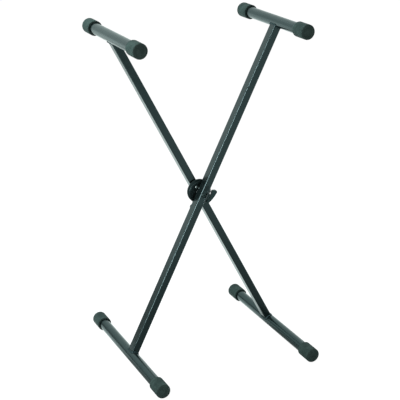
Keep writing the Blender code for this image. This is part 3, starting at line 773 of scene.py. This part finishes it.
@dataclass
class EndCaps:
    """The eight rubber caps, turned once and copied to both ends of each bar."""

    radius: float = 0.021
    length: float = 0.051
    bore: float = 0.0163
    floor: float = 0.0045
    dish_radius: float = 0.0140
    dish_depth: float = 0.0016
    dish_slope: float = 0.0012
    boss_radius: float = 0.0050
    boss_height: float = 0.0006
    edge: float = 0.0030
    lip: float = 0.0009
    rounding: float = 0.0004
    round_angle: float = 25.0

    def build(self, bars: Iterable[CrossBar]) -> None:
        """Model one cap and put a copy on each end of each bar.

        Args:
            bars: The cross bars that carry the caps.
        """
        pattern = self._pattern()
        for bar in bars:
            for where, away in (("front", True), ("back", False)):
                node = f"{bar.name}_cap_{where}"
                low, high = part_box(node)
                middle = (low + high) / 2
                mouth = high.y if away else low.y
                cap = copied(pattern, node.replace("_cap_", "_rubber_"))
                turn = Matrix.Rotation(math.pi if away else 0.0, 4, 'Z')
                seat(cap, Matrix.Translation((middle.x, mouth, middle.z)) @ turn)
                deliver(cap, bar.side.value, Finishes.RUBBER, node)
        bpy.data.objects.remove(pattern, do_unlink=True)

    def _pattern(self) -> Piece:
        """One cap along +Y with its mouth at the origin, turned and rounded.

        Returns:
            The cap that the others are copied from.
        """
        end = self.length
        low = end - self.dish_depth
        profile = [(0.0, low + self.boss_height), (self.boss_radius, low + self.boss_height),
                   (self.boss_radius + self.boss_height, low), (self.dish_radius - self.dish_slope, low),
                   (self.dish_radius, end)]
        profile += dome(self.radius, end, -self.edge, self.radius - self.edge)
        profile += [(self.radius, self.lip), (self.radius - self.lip * 0.3, self.lip * 0.3),
                    (self.radius - self.lip, 0.0), (self.bore + self.lip / 2, 0.0), (self.bore, self.lip / 2),
                    (self.bore, end - self.floor), (0.0, end - self.floor)]
        cap = turned("cap_pattern", profile)
        soften(cap, self.rounding, 2, self.round_angle)
        return cap


@dataclass
class Arm:
    """Rectangular tube with rounded corners, pressed in round the pivot and coped to both bars."""

    stance: Stance
    side: Side
    bar_radius: float
    holes: Sequence[Triple] = ()
    slot: tuple[float, float, float, float] | None = None
    width: float = 0.022
    corner: float = 0.003
    wall: float = 0.0015
    bore: float = 0.0043
    recess_depth: float = 0.0045
    mouth: Point = (0.0076, 0.0300)
    floor: Point = (0.0071, 0.0120)
    funnel_sides: int = 72
    corner_steps: int = 12
    edge: float = 0.0005
    edge_angle: float = 10.0
    sharp_angle: float = 35.0
    spare: float = 0.002
    cope_sides: int = 128
    hole_sides: int = 40

    @property
    def node(self) -> str:
        """Name of the CAD node that the arm stands for."""
        return "front_arm" if self.side is Side.FRONT else "rear_arm"

    @property
    def faces_y(self) -> tuple[float, float]:
        """y of the outer and the inner face, in the frame's own axes."""
        low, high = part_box(self.node)
        ends = sorted((abs(low.y), abs(high.y)))
        return -ends[1], -ends[0]

    def build(self) -> None:
        """Model the tube, press it in round the pivot and dress it."""
        outer = self.faces_y[0]
        arm = self._tube()
        combine(arm, self._funnel("pressed", self.wall, outer + self.wall - SEAT_GAP), 'UNION')
        carve(arm, [self._funnel("hollow", 0.0, outer - self.spare), *self._cutters()])
        soften(arm, self.edge, angle=self.edge_angle, sharp=self.sharp_angle)
        seat(arm, self.stance.axes(self.side))
        deliver(arm, self.side.value, Finishes.TUBE_PAINT, self.node)

    def _tube(self) -> Piece:
        """Tube of the arm, open at both ends.

        Returns:
            The tube with its wall, in the frame's own axes.
        """
        outer, inner = self.faces_y
        bottom, top = self.stance.reach(End.FOOT), self.stance.reach(End.TOP)
        bpy.ops.mesh.primitive_plane_add(size=1.0, location=(0.0, (outer + inner) / 2, bottom))
        arm = named(self.node + "_tube")
        arm.scale = (self.width, inner - outer, 1.0)
        bake_place()
        edit_all()
        bpy.ops.mesh.bevel(offset=self.corner, segments=self.corner_steps, affect='VERTICES',
                           clamp_overlap=False)
        bpy.ops.mesh.select_all(action='SELECT')
        bpy.ops.mesh.extrude_region_move(TRANSFORM_OT_translate={"value": (0.0, 0.0, top - bottom)})
        choose_faces(arm, lambda face: abs(face.normal.z) > LEVEL)
        bpy.ops.mesh.delete(type='ONLY_FACE')
        bpy.ops.mesh.select_all(action='SELECT')
        bpy.ops.mesh.normals_make_consistent(inside=False)
        edit_mode(False)
        modify(arm, 'SOLIDIFY', thickness=self.wall, offset=-1.0, use_even_offset=True)
        return arm

    def _funnel(self, name: str, grow: float, start: float) -> Piece:
        """Round-ended funnel about the pivot, narrowing to the recess's floor.

        Args:
            name: Name of the new object.
            grow: How far its walls and its floor are moved out.
            start: y of its wide end.

        Returns:
            The funnel, in the frame's own axes.
        """
        floor_y = self.faces_y[0] + self.recess_depth + grow
        funnel = rod(name, 1.0, 0.0, 1.0, sides=self.funnel_sides)
        turn = Matrix.Rotation(math.pi / self.funnel_sides, 3, 'Y')
        for vertex in funnel.data.vertices:
            point = turn @ vertex.co
            y = start if point.y < 0.5 else floor_y
            share = (floor_y - y) / self.recess_depth
            half, length = (f + (m - f) * share for m, f in zip(self.mouth, self.floor))
            straight = math.copysign(length - half, point.z)
            vertex.co = (point.x * (half + grow), y, point.z * (half + grow) + straight)
        return funnel

    def _cutters(self) -> list[Piece]:
        """Cutters for the copes at both ends, the bolt's bore and the holes and slot in the inner wall.

        Returns:
            The cutters, in the frame's own axes.
        """
        outer, inner = self.faces_y
        start, stop = outer - self.spare, inner + self.spare
        cutters = [rod("cope", self.bar_radius + SEAT_GAP, start, stop, (0.0, self.stance.reach(end)),
                       self.cope_sides) for end in End]
        cutters.append(rod("bore", self.bore, start, stop))
        for radius, x, z in self.holes:
            cutters.append(rod("hole", radius, inner - self.wall - self.spare, stop, (x, z), self.hole_sides))
        if self.slot:
            left, right, low, high = self.slot
            bpy.ops.mesh.primitive_cube_add(
                size=1.0, location=((left + right) / 2, inner, (low + high) / 2),
                scale=(right - left, 2 * (self.wall + self.spare), high - low))
            slot = named("slot")
            bake_place()
            cutters.append(slot)
        return cutters


@dataclass
class PivotStack:
    """Bolt, nut, spacer, washer and sleeves on the pivot."""

    stance: Stance
    bolt_radius: float = 0.004
    bolt_edge: float = 0.0002
    point_chamfer: float = 0.0006
    head_radius: float = 0.0067
    head_height: float = 0.0040
    head_rim: float = 0.0012
    crown_radius: float = 0.0040
    socket_flats: float = 0.005
    socket_depth: float = 0.0024
    nut_flats: float = 0.013
    nut_height: float = 0.0065
    nut_edge: float = 0.00015
    collar_radius: float = 0.0058
    collar_chamfer: float = 0.0006
    collar_flare: float = 0.0005
    collar_land: float = 0.0004
    cone_radius: float = 0.0078
    cone_top: float = 0.006305
    cone_height: float = 0.0012
    spacer_chamfer: float = 0.0008
    spacer_edge: float = 0.0001

    def build(self) -> None:
        """Model and dress the pieces that show and dress those inside."""
        self._bolt()
        self._nut()
        self._spacer()
        self._inside()

    def _upright(self) -> Matrix:
        """Place on the pivot with the row frame's own directions."""
        return Matrix.Translation(self.stance.pivot)

    def _bolt(self) -> None:
        """Button head with a hexagon socket, its shank running to the rear."""
        low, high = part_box("pivot_bolt")
        top, seat_y, point = low.y, low.y + self.head_height, high.y
        domed = dome(self.head_radius, top, self.head_height - self.head_rim, self.crown_radius)
        profile = [(0.0, top), *domed, (self.head_radius, seat_y), (self.bolt_radius, seat_y),
                   (self.bolt_radius, point - self.point_chamfer),
                   (self.bolt_radius - self.point_chamfer, point), (0.0, point)]
        bolt = turned("button_head_bolt", profile, 72)
        socket = rod("socket", self.socket_flats / math.sqrt(3.0), top - SEAT_GAP, top + self.socket_depth,
                     sides=6)
        carve(bolt, [socket])
        soften(bolt, self.bolt_edge, 2)
        seat(bolt, self._upright())
        deliver(bolt, Side.REAR.value, Finishes.BLACK_ZINC, "pivot_bolt")

    def _nut(self) -> None:
        """Locking nut: a hexagon with chamfered corners and a rolled collar."""
        low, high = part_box("pivot_nut")
        seat_y, hex_y = low.y, low.y + self.nut_height
        nut = rod("nut_blank", self.nut_flats / math.sqrt(3.0), seat_y, hex_y, sides=6)
        cone = [(0.0, seat_y - SEAT_GAP), (self.cone_radius, seat_y - SEAT_GAP),
                (self.cone_radius, hex_y - self.cone_height), (self.cone_top, hex_y), (0.0, hex_y)]
        combine(nut, turned("nut_cone", cone), 'INTERSECT')
        bore = self.bolt_radius + SEAT_GAP
        ring = [(self.collar_radius, hex_y - SEAT_GAP), (self.collar_radius, high.y - self.collar_chamfer),
                (self.collar_radius - self.collar_chamfer, high.y), (bore + self.collar_flare, high.y),
                (bore, hex_y + self.collar_land), (bore, hex_y - SEAT_GAP)]
        combine(nut, turned("nut_collar", ring, closed=True), 'UNION')
        carve(nut, [rod("nut_bore", bore, seat_y - SEAT_GAP, high.y + SEAT_GAP)])
        nut.name = "locking_nut"
        soften(nut, self.nut_edge, 2)
        lean = Matrix.Rotation(-self.stance.lean, 4, 'Y')
        seat(nut, self._upright() @ lean)
        deliver(nut, Side.REAR.value, Finishes.BLACK_ZINC, "pivot_nut")

    def _spacer(self) -> None:
        """Turned spacer between the disc and the front arm, its rims chamfered."""
        low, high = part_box("pivot_spacer")
        radius, bore, cut = (high.x - low.x) / 2, self.bolt_radius + SEAT_GAP, self.spacer_chamfer
        profile = [(bore, low.y), (radius - cut, low.y), (radius, low.y + cut), (radius, high.y - cut),
                   (radius - cut, high.y), (bore, high.y)]
        spacer = turned("turned_spacer", profile, closed=True)
        soften(spacer, self.spacer_edge, 2)
        seat(spacer, self._upright())
        deliver(spacer, Side.REAR.value, Finishes.BLACK_ZINC, "pivot_spacer")

    def _inside(self) -> None:
        """Dress the washer and the sleeves, whose CAD shapes stay."""
        for node, finish in (("friction_washer", Finishes.NYLON), ("front_arm_sleeve", Finishes.BLACK_ZINC),
                             ("rear_arm_sleeve", Finishes.BLACK_ZINC)):
            dress_node(node, finish)


@dataclass
class LockingDisc:
    """Notched disc and the two rivets that hold it to the rear arm."""

    stance: Stance
    edge: float = 0.00035
    rim_front: float = -0.0015
    bead_radius: float = 0.0304
    bead_width: float = 0.0036
    bead_height: float = 0.0009
    bead_steps: int = 12
    bead_angle: float = 60.0
    rivet_radius: float = 0.0025
    head_radius: float = 0.0042
    head_height: float = 0.0015
    rivet_edge: float = 0.0001

    def build(self) -> None:
        """Refine the disc from its CAD shape, add its pressed bead and turn its rivets."""
        self._bead()
        disc = refined("locking_disc", "notched_disc", self.edge)
        deliver(disc, Side.REAR.value, Finishes.DISC_PAINT, "locking_disc")
        for node in ("disc_rivet_upper", "disc_rivet_lower"):
            self._rivet(node)

    def _bead(self) -> None:
        """Turn the half-round bead that stiffens the front of the rim."""
        half = self.bead_width / 2
        arch = [(self.bead_radius - half * math.cos(a), self.rim_front - self.bead_height * math.sin(a))
                for a in (math.pi * i / self.bead_steps for i in range(self.bead_steps + 1))]
        profile = [(self.bead_radius - half, self.rim_front + SEAT_GAP), *arch,
                   (self.bead_radius + half, self.rim_front + SEAT_GAP)]
        bead = turned("pressed_bead", profile, closed=True)
        shade(bead, self.bead_angle)
        seat(bead, Matrix.Translation(self.stance.pivot))
        deliver(bead, Side.REAR.value, Finishes.DISC_PAINT)

    def _rivet(self, node: str) -> None:
        """Turn one rivet: a domed head to the front and an upset tail behind.

        Args:
            node: Name of the CAD node that it stands for.
        """
        low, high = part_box(node)
        middle = (low + high) / 2
        head = dome(self.head_radius, low.y, self.head_height)
        tail = reversed(dome(self.head_radius, high.y, -self.head_height))
        profile = [*head, (self.rivet_radius, low.y + self.head_height),
                   (self.rivet_radius, high.y - self.head_height), *tail]
        rivet = turned(node.replace("disc_rivet", "domed_rivet"), profile, 48)
        soften(rivet, self.rivet_edge, 2)
        seat(rivet, Matrix.Translation((middle.x, 0.0, middle.z)))
        deliver(rivet, Side.REAR.value, Finishes.RIVET_ZINC, node)


@dataclass
class Trigger:
    """Lever with its pawl, the moulded grip, the shoulder rivet and the return spring."""

    lever_edge: float = 0.0003
    grip_edge: float = 0.0004

    def build(self) -> None:
        """Refine the lever and the grip from their CAD shapes and dress the rest."""
        lever = refined("trigger_lever", "pawl_lever", self.lever_edge)
        deliver(lever, "trigger", Finishes.BLACK_ZINC, "trigger_lever")
        grip = refined("trigger_grip", "finger_grip", self.grip_edge)
        deliver(grip, "trigger", Finishes.GRIP, "trigger_grip")
        rivet = refined("trigger_rivet", "shoulder_rivet", self.lever_edge)
        deliver(rivet, Side.FRONT.value, Finishes.BLACK_ZINC, "trigger_rivet")
        dress_node("trigger_spring", Finishes.WIRE)


# Studio

@dataclass
class Studio:
    """Camera of the photograph, soft light and a white floor."""

    stance: Stance
    yaw: float = 24.26
    pitch: float = -19.98
    roll: float = -1.08
    distance: float = 3.2462
    across: float = 0.0023
    lift: float = -0.0232
    lens: float = 101.82
    sensor: float = 36.0
    clip: float = 200.0
    floor_size: float = 60.0
    floor_height: float = -0.0005
    floor_colour: float = 0.90
    floor_share: float = 0.75
    floor_glow: float = 1.26
    # Painted reflection: the floor's glow as the paint mirrors it, dim near the stand and brighter far off.
    near_glow: float = 0.34
    far_glow: float = 0.97
    far_reach: float = 1.7
    mirror_share: float = 0.92
    mirror_tint: Triple = (0.86, 1.0, 0.97)
    # Painted dark reflection: a glowing sheet that only reflections see, dimmer at its foot.
    flag: Triple = (-1.8, -0.25, 0.62)
    flag_distance: float = 1.0
    sheet_foot_glow: float = 0.20
    sky_light: float = 0.34
    # Painted reflection: the floor mirrors brighter behind the stand.
    back_glow: float = 1.45
    cool_light: Triple = (0.80, 1.0, 1.0)
    # Painted shade: a dimmer spot in the floor's reflections, ahead on the right.
    painted_shade_spot: Point = (1.10, -3.90)
    painted_shade_reach: Point = (0.30, 1.30)
    painted_shade_share: float = 0.25
    back_edge: Point = (-0.10, 0.20)

    def build(self) -> None:
        """Make the camera, the floor, the world, the sheet of painted dark reflection and the lamps."""
        self._camera()
        self._floor()
        self._reflection_sheet()
        self._world()
        strip = self._lamp("left_strip_softbox", (-1.80, -1.10, 1.20), (0.0, 0.0, 0.55), (0.7, 1.5), 72.0)
        strip.visible_diffuse = False
        overhead = self._lamp("overhead_softbox", (-0.5, 0.5, 2.6), (0.0, 0.0, 0.3), (2.4, 2.4), 18.0)
        overhead.data.color = self.cool_light
        side = self._lamp("left_side_softbox", (-1.40, 0.45, 1.60), (-0.2, 0.0, 0.9), (0.9, 0.9), 24.0)
        side.visible_glossy = False
        side.data.color = self.cool_light

    def _camera(self) -> None:
        """Camera at the photograph's angle, aimed near the pivot."""
        yaw, pitch, roll = (math.radians(a) for a in (self.yaw, self.pitch, self.roll))
        ahead = Vector((math.sin(yaw) * math.cos(pitch), math.cos(yaw) * math.cos(pitch), math.sin(pitch)))
        right = ahead.cross(Vector((0.0, 0.0, 1.0))).normalized()
        up = right.cross(ahead)
        right, up = (right * math.cos(roll) + up * math.sin(roll),
                     up * math.cos(roll) - right * math.sin(roll))
        place = self.stance.pivot + right * self.across + up * self.lift - ahead * self.distance
        bpy.ops.object.camera_add(location=place)
        camera = bpy.context.active_object
        camera.name = "photo_camera"
        camera.rotation_euler = Matrix((right, up, -ahead)).transposed().to_euler()
        camera.data.lens = self.lens
        camera.data.sensor_width = self.sensor
        camera.data.clip_end = self.clip
        bpy.context.scene.camera = camera

    @staticmethod
    def _bare(name: str) -> tuple[Material, NodeDesk]:
        """Make a material with no nodes.

        Args:
            name: Name of the material.

        Returns:
            The material and the desk of its tree.
        """
        made = bpy.data.materials.new(name)
        made.use_nodes = True
        made.node_tree.nodes.clear()
        return made, NodeDesk(made.node_tree)

    def _floor(self) -> None:
        """Wide white floor that shows as white and keeps a soft shadow; its glow in reflections is painted,
        darker just in front.
        """
        bpy.ops.mesh.primitive_plane_add(size=self.floor_size, location=(0.0, 0.0, self.floor_height))
        floor = named("studio_floor")
        made, desk = self._bare("studio_white")
        path = desk.add('ShaderNodeLightPath').outputs
        place = desk.add('ShaderNodeTexCoord').outputs["Object"]
        split = desk.add('ShaderNodeSeparateXYZ', {0: place})
        reach = desk.add('ShaderNodeVectorMath', {0: place}, operation='LENGTH')
        gap = desk.add('ShaderNodeVectorMath', {0: place, 1: (*self.painted_shade_spot, 0.0)}, operation='DISTANCE')
        # Painted reflection and painted shade: the glow that the paint mirrors is set by place on the floor,
        # not by any light.
        behind = desk.ramp(split.outputs["Y"], *self.back_edge, 0.0, self.back_glow)
        far = desk.ramp(reach.outputs["Value"], 0.0, self.far_reach, self.near_glow, self.far_glow)
        painted_shade = desk.ramp(gap.outputs["Value"], *self.painted_shade_reach, self.painted_shade_share, 1.0)
        painted_glow = desk.math('MULTIPLY', desk.math('MAXIMUM', behind, far), painted_shade)
        mirrored = desk.math('MULTIPLY', painted_glow, path["Is Glossy Ray"])
        direct = desk.math('MULTIPLY', self.floor_glow, path["Is Camera Ray"])
        seen = desk.math('MULTIPLY', path["Is Camera Ray"], self.floor_share)
        reflected = desk.math('MULTIPLY', path["Is Glossy Ray"], self.mirror_share)
        diffuse = desk.add('ShaderNodeBsdfDiffuse', {"Color": (*[self.floor_colour] * 3, 1.0)})
        glow = desk.add('ShaderNodeEmission', {
            "Color": desk.mix(path["Is Glossy Ray"], WHITE, self.mirror_tint),
            "Strength": desk.math('ADD', mirrored, direct)})
        mix = desk.add('ShaderNodeMixShader', {
            "Fac": desk.math('MAXIMUM', seen, reflected), 1: diffuse.outputs[0], 2: glow.outputs[0]})
        desk.add('ShaderNodeOutputMaterial', {"Surface": mix.outputs[0]})
        floor.data.materials.append(made)

    def _reflection_sheet(self) -> None:
        """Low sheet behind on the left, seen only as a reflection in the paint: a painted dark reflection
        that glows, dimmer at its foot.
        """
        left, right, top = self.flag
        bpy.ops.mesh.primitive_plane_add(
            size=1.0, location=((left + right) / 2, self.flag_distance, top / 2),
            rotation=(math.pi / 2, 0.0, 0.0))
        flag = named("painted_reflection_panel")
        flag.scale = (right - left, top, 1.0)
        bake_place()
        # Painted dark reflection: it is no lamp, glows dimly at its foot and fully at its top, and neither
        # lights nor shades anything.
        made, desk = self._bare("painted_reflection_glow")
        split = desk.add('ShaderNodeSeparateXYZ', {0: desk.add('ShaderNodeTexCoord').outputs["Object"]})
        fade = desk.ramp(split.outputs["Z"], 0.0, top, self.sheet_foot_glow, 1.0)
        glow = desk.add('ShaderNodeEmission', {"Color": (*self.mirror_tint, 1.0), "Strength": fade})
        desk.add('ShaderNodeOutputMaterial', {"Surface": glow.outputs[0]})
        flag.data.materials.append(made)
        flag.visible_camera = False
        flag.visible_diffuse = False
        flag.visible_shadow = False

    def _world(self) -> None:
        """White surroundings: full white where they are seen, and a softer light on what they light."""
        world = bpy.data.worlds.new("studio_world")
        world.use_nodes = True
        bpy.context.scene.world = world
        desk = NodeDesk(world.node_tree)
        path = desk.add('ShaderNodeLightPath').outputs
        mirrored = desk.math('MAXIMUM', path["Is Glossy Ray"], path["Is Transmission Ray"])
        seen = desk.math('MAXIMUM', path["Is Camera Ray"], mirrored)
        desk.fill(world.node_tree.nodes["Background"], {
            "Color": desk.mix(path["Is Glossy Ray"], WHITE, self.mirror_tint),
            "Strength": desk.ramp(seen, 0.0, 1.0, self.sky_light, 1.0)})

    def _lamp(self, name: str, place: Sequence[float], target: Sequence[float], size: Point,
              power: float) -> Piece:
        """Add a rectangular soft lamp.

        Args:
            name: Name of the lamp.
            place: Where it stands.
            target: Point that it faces.
            size: Width and height.
            power: Power in watts.

        Returns:
            The lamp.
        """
        bpy.ops.object.light_add(type='AREA', location=place)
        lamp = bpy.context.active_object
        lamp.name = name
        lamp.data.shape = 'RECTANGLE'
        lamp.data.size, lamp.data.size_y = size
        lamp.data.energy = power
        lamp.rotation_euler = (Vector(target) - Vector(place)).to_track_quat('-Z', 'Y').to_euler()
        lamp.visible_camera = False
        return lamp


def build_stand(stance: Stance) -> None:
    """Build the stand's sub-assemblies in order.

    Args:
        stance: Where the frames cross and how they lean.
    """
    bars = [CrossBar(side, end, name) for side, end, name in (
        (Side.REAR, End.TOP, "upper_left"), (Side.REAR, End.FOOT, "lower_right"),
        (Side.FRONT, End.TOP, "upper_right"), (Side.FRONT, End.FOOT, "lower_left"))]
    for bar in bars:
        bar.build()
        WeldBead(stance, bar.side, bar.end, bar.name, bar.radius).build()
    EndCaps().build(bars)
    rivet_hole, rivet_reach, tenon_hole = 0.0028, 0.017, 0.0033
    slot_left, slot_right, slot_bottom, slot_top = -0.0033, 0.0017, -0.0160, -0.0140
    drop = (stance.trigger - stance.pivot).length
    Arm(stance, Side.REAR, bars[0].radius,
        [(rivet_hole, 0.0, rivet_reach), (rivet_hole, 0.0, -rivet_reach)]).build()
    Arm(stance, Side.FRONT, bars[0].radius, [(tenon_hole, 0.0, -drop)],
        slot=(slot_left, slot_right, slot_bottom - drop, slot_top - drop)).build()
    PivotStack(stance).build()
    LockingDisc(stance).build()
    Trigger().build()


def main() -> None:
    """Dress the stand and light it."""
    logging.basicConfig(level=logging.INFO, format="%(name)s: %(message)s")
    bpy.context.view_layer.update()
    stance = Stance.from_frame()
    LOG.info("lean %.3f degrees, pivot %.4f m up", math.degrees(stance.lean), stance.pivot.z)
    build_stand(stance)
    Studio(stance).build()
    bpy.context.scene.view_settings.view_transform = 'Standard'


if __name__ == "__main__":
    main()
